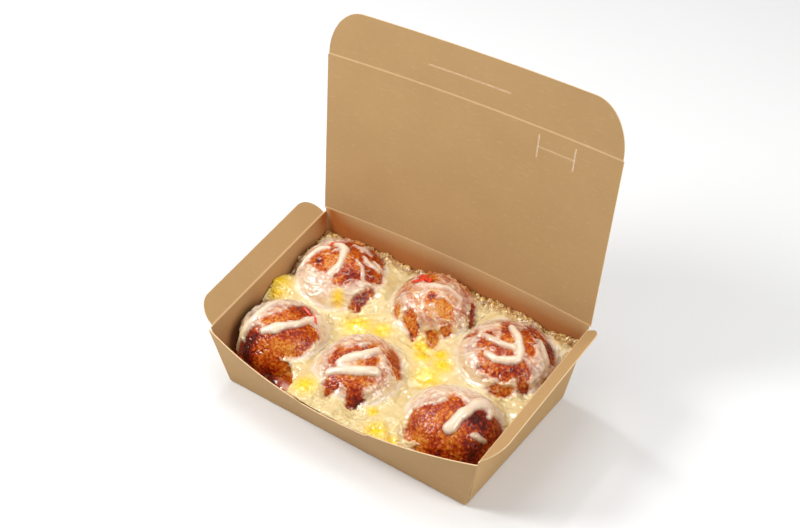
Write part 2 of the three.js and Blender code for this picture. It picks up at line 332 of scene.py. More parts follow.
def bottom_corner(i):
    inset = TOE + BOARD / 2
    into = (FOOT[(i + 1) % 4] - FOOT[i]).normalized() + (FOOT[i - 1] - FOOT[i]).normalized()
    p = FOOT[i] + into * inset
    return Vector((p.x, p.y, GROUND))


bottom = [bottom_corner(i) for i in range(4)]
print("tray rim", RIM, "foot", FOOT)

# %% Build the tray
WALL_HEIGHT = 38.0       # about, mm
TOE_SHARE = TOE / WALL_HEIGHT
# Painted shade on the inner walls: darker low down, partly as grease, and darkest in the back-left corner.
BACK_SOAK = (0.9, 42, 8)           # how dark, from what height down, over how many mm
SIDE_SOAK = (0.35, 40, 12)
SOAKED_CORNER = (-73, 49, 8)       # x, y and width, mm
AT_BACK = 44                       # vertices with a higher y belong to the back wall, mm


def bottom_point(u, v):
    return bottom[0].lerp(bottom[1], u).lerp(bottom[3].lerp(bottom[2], u), v)


def wall_with_toe(side):
    def place(t, v):
        if v > 1:
            return wall_point(side, t, TOE_SHARE + (1 - TOE_SHARE) * (v - 1))
        start = bottom[side].lerp(bottom[(side + 1) % 4], t)
        knee, end = wall_point(side, t, 0), wall_point(side, t, TOE_SHARE)
        return start.lerp(knee, v).lerp(knee.lerp(end, v), v)
    return place


def rim_share(x):
    return (x - RIM[0].x) / (RIM[1].x - RIM[0].x)


notches = [rim_share(x) for x in (TONGUE["left"], TONGUE["left"] + TONGUE["slant"],
                                  TONGUE["right"] - TONGUE["slant"], TONGUE["right"])]
long_steps = stations(0, 1, 48, notches)
short_steps = stations(0, 1, 24)
wall_rows = [0, 1 / 3, 2 / 3] + stations(1, 2, 12)

tray = bmesh.new()
sheet(tray, long_steps, short_steps, bottom_point)
for side in range(4):
    steps = {FRONT: long_steps, BACK: [1 - t for t in reversed(long_steps)]}.get(side, short_steps)
    sheet(tray, steps, wall_rows, wall_with_toe(side))
tray_board = board_piece("tray_board", tray)
# Each inner vertex gets painted shade: darker towards the food, partly as grease, and darker still near
# the back-left corner.
soaked = []
corner_x, corner_y, width = SOAKED_CORNER
for v in tray_board.data.vertices:
    x, y, z = v.co / MM
    inner = v.normal.x * x + v.normal.y * y < 0
    corner = math.exp(-math.hypot(x - corner_x, y - corner_y) / width)
    dark, top, fade = BACK_SOAK if y > AT_BACK else SIDE_SOAK
    wet = dark * (top - z) / fade
    soaked.append(inner * min(min(max(wet, 0), 0.9) + 1.3 * corner, 1))
set_attribute(tray_board.data, "soaked", soaked)
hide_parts("tray")
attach(tray_board, "tray")

# %% [markdown]
# ## Lid and tuck flap
#
# The lid stands a few degrees behind upright and isn't flat: the open sheet pulls into a shallow
# curve, so both of its fold lines bow backward at mid length. It has an H-shaped cut that holds
# the lock tongue, and the tuck flap above it has one long slit and large rounded corners.
# A fold is not a hinge with two halves: the sheet goes on across it.

# %% Build the lid and the tuck flap
LID = {"length": 147.8, "depth": 85.35, "bow": 3.2, "less_bow": 0.008}
LEAN = (math.radians(6.5), math.radians(9.8))      # at the left and the right edge
TUCK = {"height": 24.5, "round": 17.0}
TUCK_LENGTH = 146.8
TUCK_SLIT = {"left": -23.0, "right": 18.0, "up": 11.0}
LOCK_CUT = {"left": 33.8, "right": 51.6, "low": 71.0, "high": 82.5, "bar": 76.5}


def lid_up(x):
    """The lid's rising direction at x: the sheet is a little twisted."""
    lean = LEAN[0] + (LEAN[1] - LEAN[0]) * (x / LID["length"] + 0.5)
    return Vector((0, math.sin(lean), math.cos(lean)))


def lid_point(x, s):
    bow = (LID["bow"] - LID["less_bow"] * s) * arch(x / LID["length"] + 0.5)
    return lid_fold + Vector((x, bow, 0)) + lid_up(x) * s


def slot_box(x0, x1, y0, y1):
    """A slit, widened by half the width of the cut on its narrow sides."""
    half = SLIT / 2
    return (x0, x1, y0 - half, y1 + half) if x1 - x0 > y1 - y0 else (x0 - half, x1 + half, y0, y1)


def beside(low, high):
    """The two sides of a cut, and the ends of the bruise beside it."""
    return [low - BRUISED, low, high, high + BRUISED]


cuts = [slot_box(x, x, LOCK_CUT["low"], LOCK_CUT["high"])
        for x in (LOCK_CUT["left"], LOCK_CUT["right"])]
cuts.append(slot_box(LOCK_CUT["left"], LOCK_CUT["right"], LOCK_CUT["bar"], LOCK_CUT["bar"]))
half_lid = LID["length"] / 2
lid_columns = stations(-half_lid, half_lid, 40, [x for c in cuts[:2] for x in beside(*c[:2])])
lid_rows = stations(0, LID["depth"], 24, [FOLD_LINE] + [y for y in beside(*cuts[2][2:])]
                    + [LOCK_CUT["low"], LOCK_CUT["high"]])

lid = bmesh.new()
sheet(lid, lid_columns, lid_rows, lid_point, cuts, folded=FOLD_LINE)
lid_board = board_piece("lid_board", lid)
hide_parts("lid")
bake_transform(lid_board)


def narrowing(flap, length, s):
    """The share of a flap's length left at height s: its free corners are quarter ellipses."""
    angle = math.asin(min(s / flap["height"], 1.0))
    return 1 - 2 * flap["round"] * (1 - math.cos(angle)) / length


def round_rows(flap, count):
    """Rows that lie closer together towards the free edge, where the corners turn."""
    return [flap["height"] * math.sin(math.pi / 2 * i / count) for i in range(count + 1)]


def tuck_point(x, s):
    return lid_point(x * narrowing(TUCK, TUCK_LENGTH, s), LID["depth"] + s)


slit = TUCK_SLIT["up"]
at_slit = narrowing(TUCK, TUCK_LENGTH, slit)
tuck_cut = slot_box(TUCK_SLIT["left"] / at_slit, TUCK_SLIT["right"] / at_slit, slit, slit)
half_tuck = TUCK_LENGTH / 2
tuck_rows = [s for s in round_rows(TUCK, 16) if abs(s - slit) > 1]
tuck_rows = sorted(tuck_rows + [FOLD_LINE, *beside(*tuck_cut[2:])])
tuck = bmesh.new()
tuck_columns = stations(-half_tuck, half_tuck, 40, tuck_cut[:2])
sheet(tuck, tuck_columns, tuck_rows, tuck_point, [tuck_cut], folded=FOLD_LINE)
tuck_board = board_piece("tuck_board", tuck)
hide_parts("tuck_flap")
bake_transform(tuck_board)

# %% [markdown]
# ## Side flaps
#
# A small flap with rounded ends stands on each end wall. The two are mirror images, but one was
# bent out a little further than the other, so each has its own lean.

# %% Build the side flaps
FLAP = {"height": 12.0, "round": 9.0}
FLAP_INSET = 2.6         # the flap's ends stop this far short of the wall's, mm


def side_flap(node, side, lean):
    front, back = (wall_point(side, t, 1) for t in ((0, 1) if side == RIGHT else (1, 0)))
    along = (back - front).normalized()
    outward = Vector((1 if side == RIGHT else -1, 0, 0))
    outward = (outward - along * outward.dot(along)).normalized()
    upright = outward.cross(along) if side == LEFT else along.cross(outward)
    upright = upright if upright.z > 0 else -upright
    rise = upright * math.cos(lean) + outward * math.sin(lean)
    front, back = front - along * TUCKED["front"], back + along * TUCKED["back"]
    length = (back - front).length - 2 * FLAP_INSET
    middle = (front + back) / 2

    def place(x, s):
        return middle + along * x * narrowing(FLAP, length, s) + rise * s

    bm = bmesh.new()
    rows = sorted(round_rows(FLAP, 14) + [FOLD_LINE])
    sheet(bm, stations(-length / 2, length / 2, 30), rows, place, folded=FOLD_LINE)
    piece = board_piece(node + "_board", bm)
    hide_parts(node)
    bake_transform(piece)


side_flap("left_flap", LEFT, math.radians(46))
side_flap("right_flap", RIGHT, math.radians(45))

# %% [markdown]
# ## Where the food is
#
# The measured balls are coarse, but they are in the right place and have the right flats where
# they press on the floor, the walls and each other. A smoothed copy of each one serves as the
# form that everything else is fitted to: the fine crust is wrapped onto it, and the cheese
# measures its own thickness from it.

# %% Smooth forms of the balls
BALLS = ["ball_back_left", "ball_back_middle", "ball_back_right",
         "ball_front_left", "ball_front_middle", "ball_front_right"]
SHORT = dict(zip("ABCDEF", BALLS))


def smooth_form(node):
    bm = bmesh.new()
    bm.from_mesh(nodes[node].data)
    bmesh.ops.remove_doubles(bm, verts=bm.verts, dist=0.001 * MM)
    form = new_piece("form_" + node, bm, [])
    form.modifiers.new("round", "SUBSURF").levels = 2
    apply_modifiers(form)
    bm = bmesh.new()
    bm.from_mesh(form.data)
    bpy.data.objects.remove(form)
    return bm


forms = {node: smooth_form(node) for node in BALLS}
form_trees = {node: BVHTree.FromBMesh(bm) for node, bm in forms.items()}
centres = {node: (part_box(node)[0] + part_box(node)[1]) / 2 for node in BALLS}
all_forms = bmesh.new()
for bm in forms.values():
    joined = bpy.data.meshes.new("joined")
    bm.to_mesh(joined)
    all_forms.from_mesh(joined)
    bpy.data.meshes.remove(joined)
food_tree = BVHTree.FromBMesh(all_forms)
for node in BALLS:
    low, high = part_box(node)
    print(node, "is", [round((h - l) / MM, 1) for l, h in zip(low, high)], "mm")

# %% [markdown]
# ## Browning
#
# A crust browns unevenly. It is golden where the batter only touched the iron, red-brown where
# it fried in oil, and nearly black-red in thin lines and spots. One recipe makes this colour from
# a fine noise and a painted value called `brown`, and both the crust and the thin cheese over it
# use the recipe, so that the same spots show through the cheese.

# %% Crust colour and crust material
def browning(tree, place):
    """The crust's colour at a place, as a socket."""
    # Specks of fried starch, 0.8 mm wide, and the painted value, which holds the wider patches.
    specks = add(tree, "TexNoise", {"Vector": place, "Scale": 1000, "Detail": 3, "Roughness": 0.6})
    painted = add(tree, "Attribute", attribute_name="brown")
    speck = add(tree, "Math", {0: specks.outputs[0], 1: 0.9, 2: 0.18}, **SUM)
    darker = add(tree, "Math", {0: painted.outputs["Fac"], 1: -0.5, 2: speck.outputs[0]},
                 use_clamp=True, **SUM)
    ramp = add(tree, "ValToRGB", {0: darker.outputs[0]}, stops=[
        (0.05, "#420d07"), (0.22, "#701204"), (0.38, "#8f2602"), (0.53, "#a63e03"),
        (0.70, "#b9590b"), (0.95, "#cc8731")])
    return ramp.outputs[0], specks.outputs[0]


crust, tree, place = new_material("browned_batter_crust")
colour, specks = browning(tree, place)
relief = add(tree, "Bump", {"Height": specks, "Strength": 0.6, "Distance": 0.25 * MM})
gloss = add(tree, "MapRange", {0: specks, 1: 0.3, 2: 0.7, 3: 0.3, 4: 0.5})
# Fried batter wet with oil and sauce: light goes a millimetre into it and comes back warmer.
skin = add(tree, "BsdfPrincipled", {
    "Base Color": colour, "Roughness": gloss.outputs[0], "IOR": 1.47, "Subsurface Weight": 0.12,
    "Subsurface Radius": (1.0, 0.35, 0.1), "Subsurface Scale": 1.0 * MM, "Specular IOR Level": 0.2,
    "Coat Weight": 0.45, "Coat Roughness": 0.07, "Normal": relief.outputs[0]})
add(tree, "OutputMaterial", {"Surface": skin.outputs[0]})
print("crust material:", crust.name)

# %% [markdown]
# Spots that are browner or paler than the rest are listed by ball, as x and y from a mark near the
# ball's middle, a radius, and how much browner. The same list colours the crust and the cheese
# above it.

# %% Where the crust is browner
MARKS = {"A": (-48.8, 25.3), "B": (2.2, 28), "C": (47.4, 22), "D": (-47.5, -18.5), "E": (-3.5, -19.5),
         "F": (46, -20)}
SPOTS = {
    "A": [(-5, 9, 5, 0.7), (-7, -5, 1.6, 1.2), (10, -5, 4, 0.7), (16, 2, 5, 0.6), (9, 16, 5, 0.7),
          (-2, -4, 5, -0.4), (18, -9, 4, 0.5), (-17, -10, 4, 0.6), (4, 3, 4, -0.1)],
    "B": [(0, -2, 24, -0.35), (1, -1, 2, 0.9), (2, -12, 1.6, 1.0), (8, -2, 6, -0.2), (17, 8, 5, 0.8),
          (20, -2, 4, 0.8), (-14, -4, 6, 0.4), (-2, -14, 8, 0.1), (0, 8, 8, 0.3)],
    "C": [(-11, 2, 2, 0.9), (-5, 6, 3.5, 0.6), (0, 17, 7, 0.8), (14, 13, 5, 0.8), (4, 9, 5, -0.2),
          (6, -10, 12, -0.2), (4, -11, 5, 0.5), (10, -15, 6, -0.1), (20, -8, 5, 0.5), (10, -8, 3, 0.8),
          (-14, -4, 7, 0.3)],
    "D": [(-18, 0, 8, 1.4), (-14, -14, 6, 0.6), (-4, -28, 8, 1.2), (8, -27, 6, 1.2), (-6, -14, 3, 0.9),
          (-9, -18, 4, 0.8), (2, 12, 5, 0.8), (5, -8, 5, 0.4), (8, -14, 8, -0.25), (15, -2, 4, 0.6),
          (-2, -16, 5, -0.2), (3, 2, 6, 0.1), (9, -21, 6, 0.4)],
    "E": [(0, -4, 22, -0.25), (0, 5, 4, 0.7), (6, -2, 3, 0.7), (-3, -18, 5, 0.5), (8, -16, 4, 0.9),
          (3, -12, 3, -0.2), (15, -14, 5, 0.8), (12, 9, 5, 0.4), (19, -5, 3, -0.1), (-10, -8, 5, 0.5)],
    "F": [(8, -28, 9, 0.8), (9, 0, 5, 0.9), (15, 2, 6, 0.7), (-6, -14, 7, -0.15), (2, -12, 6, -0.15),
          (15, -12, 3, 0.8), (18, -9, 2.5, 0.9), (-13, -14, 4, 0.2), (6, -18, 5, 0.4),
          (11, -15, 6, -0.2)],
}
PATCH = (0.55, 7.0)      # strength and width of the patches, mm
PALER_GRAIN = 0.62       # how much paler a grain's top is than the crack beside it
GRAIN = (0.3, 1.9)       # height and width of the grains of fried batter, mm
LUMP = (0.45, 8.0)       # height and width of the broad lumps, mm
CROOKED = (1.3, 1.9)     # how far the rows of grains are bent, and over what distance, mm


def crust_relief(p):
    """Height of the crust's surface at p, mm, and a number that is high on a grain's top."""
    bent = p + CROOKED[0] * noise.noise_vector(p / CROOKED[1])
    nearest, second = noise.voronoi(bent / GRAIN[1])[0][:2]
    grain = min(2.0 * (second - nearest), 1) - 0.5      # lowest in the cracks between grains
    soft = noise.noise(p / 1.5) + 0.5 * noise.noise(p / 0.7)
    return LUMP[0] * noise.noise(p / LUMP[1]) + GRAIN[0] * grain + 0.2 * soft, 0.5 * grain + 1.1 * soft


def painted_brown(points, grains):
    """How brown the crust is at each point (mm), around zero."""
    patches = [noise.noise(Vector(p) / PATCH[1] + Vector((3, 5, 7))) for p in points]
    total = PATCH[0] * np.array(patches) - PALER_GRAIN * grains
    for key, spots in SPOTS.items():
        mark = MARKS[key]
        for x, y, radius, amount in spots:
            off = (points[:, 0] - mark[0] - x) ** 2 + (points[:, 1] - mark[1] - y) ** 2
            total += amount * np.exp(-off / radius ** 2)
    return total


print("spots:", sum(len(s) for s in SPOTS.values()))

# %% [markdown]
# ## The balls
#
# Each crust is a fine icosphere, because its triangles are all the same size and a UV sphere's
# aren't. Every vertex is sent outward until it meets the smooth form, and is then moved in or
# out by broad lumps and by rounded grains a millimetre or two across.

# %% Wrap a crust on each ball
FINE = 7


def crust_ball(node):
    bm = bmesh.new()
    bmesh.ops.create_icosphere(bm, subdivisions=FINE, radius=1.0)
    middle, form = centres[node], form_trees[node]
    grains = []
    for v in bm.verts:
        outward = v.co.normalized()
        hit = form.ray_cast(middle, outward)[0]
        height, grain = crust_relief(hit / MM)
        grains.append(grain)
        v.co = hit + outward * height * MM
    piece = new_piece(node.replace("ball", "crust"), bm, [crust])
    piece.data.shade_smooth()
    brown = painted_brown(vertex_rows(piece.data, "co") / MM, np.array(grains))
    set_attribute(piece.data, "brown", brown)
    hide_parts(node)
    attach(piece, "tray")
    return piece


crusts = [crust_ball(node) for node in BALLS]
print("crusts:", [len(c.data.polygons) for c in crusts])

# %% [markdown]
# ## Melted cheese: the resting form
#
# Melted cheese finds its own level in the valleys and climbs the balls in smooth hollows. That
# form is worked out first, as heights on a grid that fits the tray: the height of the balls seen
# from above, a pool between them, and a soft blur that fills each hollow. A voxel remesh then
# gives the same fineness on steep flanks as on the flat, which a grid of heights doesn't have.

# %% Heights of the pool
POOL = 25.0
MOUNDS = [  # x, y, radius, height added, mm
    (-17, -44, 13, 5.0), (0, -48, 12, 3.6), (26, -45, 10, 5.0), (-70, 2, 11, 4.5), (-66, 46, 10, 6.0),
    (-36, 46, 10, 7.0), (-22, 3, 9, 2.0), (24, 0, 9, 1.5), (-16, 48, 8, 6.5), (12, 50, 8, 6.0),
    (26, 45, 10, 7.0), (44, 49, 12, 7.5), (66, 42, 10, 8.0), (70, 2, 8, 4.5), (70, 20, 6, 3.5),
    (-25, 28, 9, 3.0), (-73, 26, 8, 6.0), (-74, -28, 15, -9), (-58, -46, 14, -9), (-38, -48, 9, -10),
    (62, -44, 14, -9), (44, -48, 8, -4), (75, -24, 12, -8)]
FILLET = 2.6             # width of the blur that rounds the hollows, mm
CHEESE_CLEAR = 0.35      # air to the board, mm


def pool_height(x, y):
    waves = 0.9 * math.sin(x / 11 + 1) * math.cos(y / 9) + 0.6 * math.sin(x / 6 - y / 8)
    rise = sum(h * math.exp(-((x - mx) ** 2 + (y - my) ** 2) / r ** 2) for mx, my, r, h in MOUNDS)
    return POOL + waves + rise


def wall_inside(side, t, z):
    """The wall's inner face at that height, less a little air."""
    whole = TOP[side](t) * (left_by_tongue(t) if side == FRONT else 1)
    return wall_point(side, t, min((z - GROUND) / (whole - GROUND), 1), BOARD + CHEESE_CLEAR)


def inside_tray(a, b, z):
    """A point between the tray's walls at that height; a and b run from 0 to 1."""
    front, back = wall_inside(FRONT, a, z), wall_inside(BACK, 1 - a, z)
    right, left = wall_inside(RIGHT, b, z), wall_inside(LEFT, 1 - b, z)
    return left.x + (right.x - left.x) * a, front.y + (back.y - front.y) * b


ROWS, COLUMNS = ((150, 220))
shares_a = np.linspace(0, 1, COLUMNS + 1)
shares_b = np.linspace(0, 1, ROWS + 1)


def pool_place(a, b):
    """Where the pool's surface is at those shares of the tray: x, y and height."""
    level = pool_height(*inside_tray(a, b, POOL))
    return (*inside_tray(a, b, level - 0.5), level)


DOWN = Vector((0, 0, -1))
ABOVE = 60.0             # rays that look for the food start at this height, mm
grid = np.array([[pool_place(a, b) for a in shares_a] for b in shares_b])
pool_top = grid[:, :, 2]
balls_top = np.zeros(grid.shape[:2])
for i in range(ROWS + 1):
    for j in range(COLUMNS + 1):
        x, y = grid[i, j, :2]
        hit = food_tree.ray_cast(Vector((x, y, ABOVE)) * MM, DOWN)[0]
        balls_top[i, j] = hit.z / MM if hit else 0.0
print("pool", pool_top.min().round(1), "to", pool_top.max().round(1))
print("balls to", balls_top.max().round(1))

# %% Blur the hollows and close the form
def blur(values, sigma_cells):
    reach = int(3 * sigma_cells)
    weights = np.exp(-0.5 * (np.arange(-reach, reach + 1) / sigma_cells) ** 2)
    weights /= weights.sum()
    for axis, border in enumerate([((reach, reach), (0, 0)), ((0, 0), (reach, reach))]):
        padded = np.pad(values, border, mode="edge")
        values = np.apply_along_axis(lambda line: np.convolve(line, weights, "valid"), axis, padded)
    return values


def soft_max(a, b, blend):
    """The larger of two heights, rounded where they meet."""
    return (a + b + np.sqrt((a - b) ** 2 + blend ** 2)) / 2


cell = 145.0 / COLUMNS   # the tray is about 145 mm long at this height
filled = blur(np.maximum(balls_top, pool_top), FILLET / cell)
rest_top = soft_max(filled, balls_top, 0.4)

form = bmesh.new()
share_a, share_b = (form.verts.layers.float.new(n) for n in ("a", "b"))
for v in bmesh.ops.create_grid(form, x_segments=COLUMNS, y_segments=ROWS, size=0.5)["verts"]:
    j, i = round((v.co.x + 0.5) * COLUMNS), round((v.co.y + 0.5) * ROWS)
    v[share_a], v[share_b] = shares_a[j], shares_b[i]
    v.co = Vector((*grid[i, j, :2], rest_top[i, j])) * MM
FORM_FLOOR = 12.0        # the form is closed here, below everything that shows
rim_edges = [e for e in form.edges if e.is_boundary]
grown = bmesh.ops.extrude_edge_only(form, edges=rim_edges)["geom"]
for v in [g for g in grown if isinstance(g, bmesh.types.BMVert)]:
    x, y = inside_tray(v[share_a], v[share_b], FORM_FLOOR)
    v.co = Vector((x, y, FORM_FLOOR)) * MM
bmesh.ops.holes_fill(form, edges=[e for e in form.edges if e.is_boundary])
bmesh.ops.recalc_face_normals(form, faces=form.faces)
cheese = new_piece("cheese_blanket", form, [])
VOXEL = 0.56
remesh = cheese.modifiers.new("even", "REMESH")
remesh.mode = "VOXEL"
remesh.voxel_size = VOXEL * MM
apply_modifiers(cheese)
print("cheese form:", len(cheese.data.vertices), "vertices")

# %% [markdown]
# ## Where the cheese is thick, thin or missing
#
# The cheese has slid off some of the crust. Each bare window is a chain of points on a ball with
# a radius at each point, like a string of beads, and its outline is roughened by noise. A strand
# is the same kind of chain, but raised: a soft rope of cheese a few millimetres wide with a round
# top. Elsewhere a thin veil lies on the crust and lets it show through, more on some balls than
# on others, and fine threads cross the windows. The chains' places are x and y from the ball's
# mark, in millimetres.

# %% Windows, strands and veils
WINDOWS = {
    "A": [[(-9, -4, 2.8), (-3, -6, 3.6), (-1, -2, 3.6)], [(-9, 1, 1.8), (-7, 6, 2.2), (-3, 12, 2)],
          [(1, 9, 3), (6, 6, 3.4), (7, 1, 3.4), (6, -3, 2.4)], [(10, 11, 1.8), (12, 14, 1.6)],
          [(8, 18, 1.8), (12, 16, 2), (15, 13, 1.5)], [(0, 16, 2)],
          [(6, -10, 1.8), (10, -5, 2.6), (13, 1, 2.8), (17, 3, 2.6), (19, 7, 2)],
          [(18, -12, 2.2), (19, -8, 2.8), (20, -4, 2)], [(-17, -8, 2), (-19, -13, 2)]],
    "B": [[(1, -1, 1.5)], [(7, -1, 2), (10, -2, 2.4)], [(-13, -9, 2)], [(-4, -11, 2.4), (0, -14, 2)],
          [(9, -11, 2.4), (7, -15, 2.2)], [(13, -7, 2)],
          [(16, 12, 1.2), (19, 5, 1.5), (21, -2, 1.4), (19, -9, 1)], [(-10, 12, 2), (-6, 9, 1.6)]],
    "C": [[(-21, 1, 0.9), (-18, 2, 1)], [(-12, -3, 1), (-6, -4, 1.2), (-1, -5, 1.2), (2, -4, 0.9)],
          [(-11, 2, 1)], [(-8, 13, 1.4), (-5, 6, 1.5), (-1, 1, 1.4)],
          [(-8, 19, 1), (0, 18, 1.4), (8, 15, 1.4), (15, 12, 1.2), (19, 7, 0.9)],
          [(3, 12, 2), (6, 8, 2.1), (9, 3, 1.5)],
          [(10, -5, 1.1), (13, -7, 1.5), (14, -10, 1.4), (16, -12, 0.9)],
          [(-6, -10, 1.7), (-4, -13, 2.2), (1, -13, 2.4), (6, -12, 2.2), (9, -9, 1.4)],
          [(4, -18, 2.1), (10, -16, 2.2), (14, -18, 1.8)],
          [(21, -3, 1.8), (21, -9, 2.1), (20, -14, 1.5)], [(22, 4, 1.5)]],
    "D": [[(-2, -14, 5), (4, -12, 8), (11, -7, 7), (14, 1, 4)],
          [(-9, -20, 6), (2, -22, 8), (11, -19, 7)],
          [(-6, -15, 5)], [(-5, -7, 0.9), (0, -2, 1.9), (3, 3, 2.6), (3, 8, 2.8), (5, 11, 2.2)],
          [(1, 15, 1.3), (6, 17, 1.5), (12, 16, 1.2)],
          [(-14, -24, 7), (-4, -27, 7), (8, -27, 7), (15, -25, 5)],
          [(-13, 14, 2), (-19, 7, 3.5), (-22, -1, 4.5), (-21, -9, 5), (-17, -18, 5)]],
    "E": [[(-6, -1, 0.6), (-3, 2, 0.9), (0, 4, 1), (2, 9, 0.7)],
          [(4, -4, 0.7), (6, -2, 1), (7, 1, 0.7)],
          [(9, 14, 2), (10, 11, 2.6), (13, 9, 2.8), (15, 7, 2.2)],
          [(1, -12, 1), (-3, -15, 2), (-5, -18, 2.2), (-3, -21, 2.4), (2, -22, 2.4), (6, -23, 2)],
          [(1, -13, 1.8), (5, -12, 2.6), (7, -15, 3), (9, -19, 3.2)], [(7, -10, 1.8), (9, -7, 1.1)],
          [(13, -17, 2.6), (16, -14, 2.4), (17, -12, 1.8)], [(18, -6, 2), (20, -4, 1.4)],
          [(-10, -3, 1.3), (-9, -7, 1.4)]],
    "F": [[(-9, -13, 7), (-2, -10, 7.5), (4, -14, 9), (12, -12, 9)],
          [(2, -4, 6), (9, -2, 4), (11, 3, 3)], [(16, -3, 6), (19, 4, 5)],
          [(0, -27, 6), (12, -27, 7), (22, -22, 7), (26, -12, 6)],
          [(-14, -17, 5), (0, -22, 7), (14, -20, 8), (20, -12, 7)],
          [(-2, 3, 1.4), (1, 2, 1.6)], [(10, 12, 1)]],
}
STRANDS = {
    "A": [[(-7, 8, 1.8), (-4, 8, 2.1), (0, 6, 2.1), (2, 1, 1.9), (3, -4, 1.8), (2, -9, 2)],
          [(-8, 4, 1.5), (-12, 2, 2.2), (-15, -4, 2.2), (-16, -12, 2)],
          [(9, 9, 1.2), (12, 7, 1.6), (17, 9, 1.5)], [(0, 13, 1.2), (5, 13, 1.4), (10, 13, 1.2)],
          [(8, 4, 1.1), (12, 3, 1.3), (15, -1, 1.2), (19, -3, 1.1)]],
    "B": [[(-9, 3, 1.5), (-3, 5, 1.8), (4, 8, 1.6), (11, 8, 1.4)]],
    "C": [[(-4, 10, 1.7), (1, 6, 1.9), (6, 1, 2), (8, -4, 2), (4, -8, 2), (-1, -9, 1.8), (-6, -8, 1.6)],
          [(-14, 1, 1.4), (-8, -1, 1.7), (-3, -2, 1.8), (3, -1, 1.8)],
          [(10, 11, 1.5), (14, 7, 1.7), (18, 4, 1.6), (18, -1, 1.4), (17, -7, 1.6), (17, -14, 1.6)]],
    "D": [[(-3, -11, 2.3), (1, -8, 2.4), (6, -3, 2.1), (9, 2, 1.8), (10, 7, 2), (11, 13, 3.4)],
          [(-9, 8, 2), (-10, 2, 2.2), (-11, -5, 2.3), (-14, -11, 2.3), (-16, -16, 2)]],
    "E": [[(-6, -8, 2), (-2, -3, 2.3), (1, 1, 2.3), (4, 7, 2)],
          [(-8, -13, 2), (-3, -10, 2.2), (4, -7, 2.2), (10, -2, 2)],
          [(0, -18, 1.9), (3, -19, 2.1), (6, -20, 2), (8, -21, 1.8)]],
    "F": [[(4, -10, 2.7), (5, -5, 2.6), (6, 1, 2.5), (7, 7, 3), (9, 13, 3.5)],
          [(14, 6, 1.7), (12, 10, 2), (12, 14, 2)], [(14, -6, 1.8), (18, -4, 1.4)]],
}
VEIL = {"A": 0.42, "B": 0.8, "C": 0.5, "D": 0.4, "E": 0.68, "F": 0.38}    # clearness of the veil
THREADS = {"A": 1.0, "B": 0.75, "C": 1.0, "D": 0.6, "E": 0.9, "F": 0.55}  # strength of the threads
CREAMY = [  # places where the veil is thicker: x, y in the tray, radius
    (-23, 8, 10), (-10, 10, 9), (22, -3, 10), (-14, -6, 7), (38, -3, 9), (-28, -18, 7),
    (-24, -30, 8), (-37, -13, 9), (-35, -5, 8), (26, -26, 8), (-55, 4, 9), (-38, 4, 8),
    (-24, 24, 6), (24, 24, 6), (14, -36, 8), (34, -8, 8)]
print("windows", sum(map(len, WINDOWS.values())), "strands", sum(map(len, STRANDS.values())))

# %% Distances to chains on the balls
def on_ball(key, x, y):
    """A point on the smooth form under x and y from the ball's mark, in mm."""
    node = SHORT[key]
    start = Vector((MARKS[key][0] + x, MARKS[key][1] + y, ABOVE)) * MM
    hit = form_trees[node].ray_cast(start, DOWN)[0]
    if hit is None:
        hit = form_trees[node].find_nearest(Vector((start.x, start.y, centres[node].z)))[0]
    return np.array(hit) / MM


def along_chain(points, key, chain):
    """Each point's distance to a chain, and the chain's radius at the nearest place."""
    beads = [(on_ball(key, x, y), r) for x, y, r in chain]
    beads = beads * 2 if len(beads) == 1 else beads
    best, radius = np.full(len(points), 1e9), np.ones(len(points))
    for (p, rp), (q, rq) in zip(beads, beads[1:]):
        step = q - p
        t = np.clip((points - p) @ step / max(step @ step, 1e-9), 0, 1)
        gap = np.linalg.norm(points - p - t[:, None] * step, axis=1)
        width = rp + (rq - rp) * t
        closer = gap - width < best - radius
        best, radius = np.where(closer, gap, best), np.where(closer, width, radius)
    return best, radius


def each_chain(points, table):
    """Runs along_chain for every chain on every ball."""
    for key, chains in table.items():
        for chain in chains:
            yield along_chain(points, key, chain)


points = vertex_rows(cheese.data, "co") / MM
normals = vertex_rows(cheese.data, "normal")
nearest = [food_tree.find_nearest(Vector(p) * MM) for p in points]
foot = np.array([n[0] for n in nearest]) / MM
outward = np.array([n[1] for n in nearest])
height = np.einsum("ij,ij->i", points - foot, outward)
height = np.where(height < 0, height, np.linalg.norm(points - foot, axis=1))
print("cheese above crust:", height.min().round(2), "to", height.max().round(2), "mm")


def wobble(points, width, seed):
    """Smooth noise from about -0.5 to 0.5. width is in mm, and each seed gives another pattern."""
    shift = Vector((seed, seed * 1.7, seed * 2.3))
    return np.array([noise.noise(Vector(p) / width + shift) for p in points])


NEAR = 2.5               # closer to the crust than this, the cheese follows its grains, mm
reliefs = [crust_relief(Vector(p)) if h < NEAR else (0.0, 0.0) for p, h in zip(foot, height)]
reliefs = np.array(reliefs)
edge_noise = 0.9 * wobble(points, 3.2, 1.0) + 0.8 * wobble(points, 1.1, 2.0)
lumps = wobble(points, 6.0, 3.0)
streaks = wobble(points * (0.55, 1.3, 1.0), 2.6, 6.0)
folds = wobble(points, 4.5, 9.0)
# Where a noise crosses zero it draws thin lines that wander but never end: threads of cheese.
threads = np.clip(1 - 5 * np.abs(wobble(points * (0.75, 1.3, 1.0), 4.5, 11.0)), 0, 1)
ripples = 0.6 * wobble(points, 2.4, 4.0) + 0.4 * wobble(points, 1.1, 5.0)

# %% [markdown]
# The thickness then follows from the distances. At the edge of a window the cheese ends in a
# feathered lip, thin at first and soon thick, so its height is a root of the distance and not a
# straight slope. Inside the window the surface dives under the crust and is out of sight.
# Along the back wall and the left one the cheese has fried to a lace of bubbles, so the surface
# is rough there.

